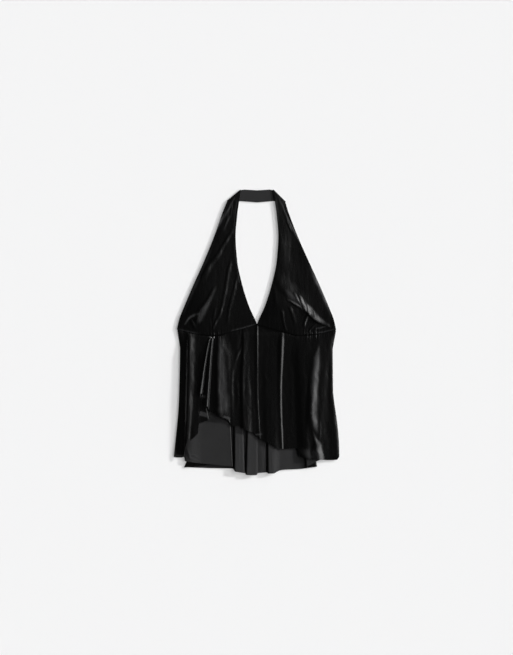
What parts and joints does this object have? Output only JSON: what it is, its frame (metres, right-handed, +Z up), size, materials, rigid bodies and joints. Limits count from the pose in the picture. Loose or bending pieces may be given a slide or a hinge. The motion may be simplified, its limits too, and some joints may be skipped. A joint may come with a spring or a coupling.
{
  "type": "halter top",
  "caption": "Backless halter top in stretch velvet laid flat, with triangular cups, a neckband and a draped skirt whose hem is cut higher on one side.",
  "frame": {"origin": "on the surface that the top lies on, under the middle of the whole top", "axes": "+X to the wearer's left, +Y from the hem to the neckband, +Z up out of the front"},
  "size_m": [0.3471, 0.5993, 0.0139],
  "materials": {
    "velvet": "black stretch velvet, pile side, dark and soft with bright sheen on its folds",
    "velvet_wrong_side": "matt charcoal knit back of the velvet"
  },
  "bodies": {
    "root": {"cup_right": "velvet", "cup_left": "velvet", "peplum_front": "velvet", "peplum_back": "velvet_wrong_side"}
  },
  "joints": []
}
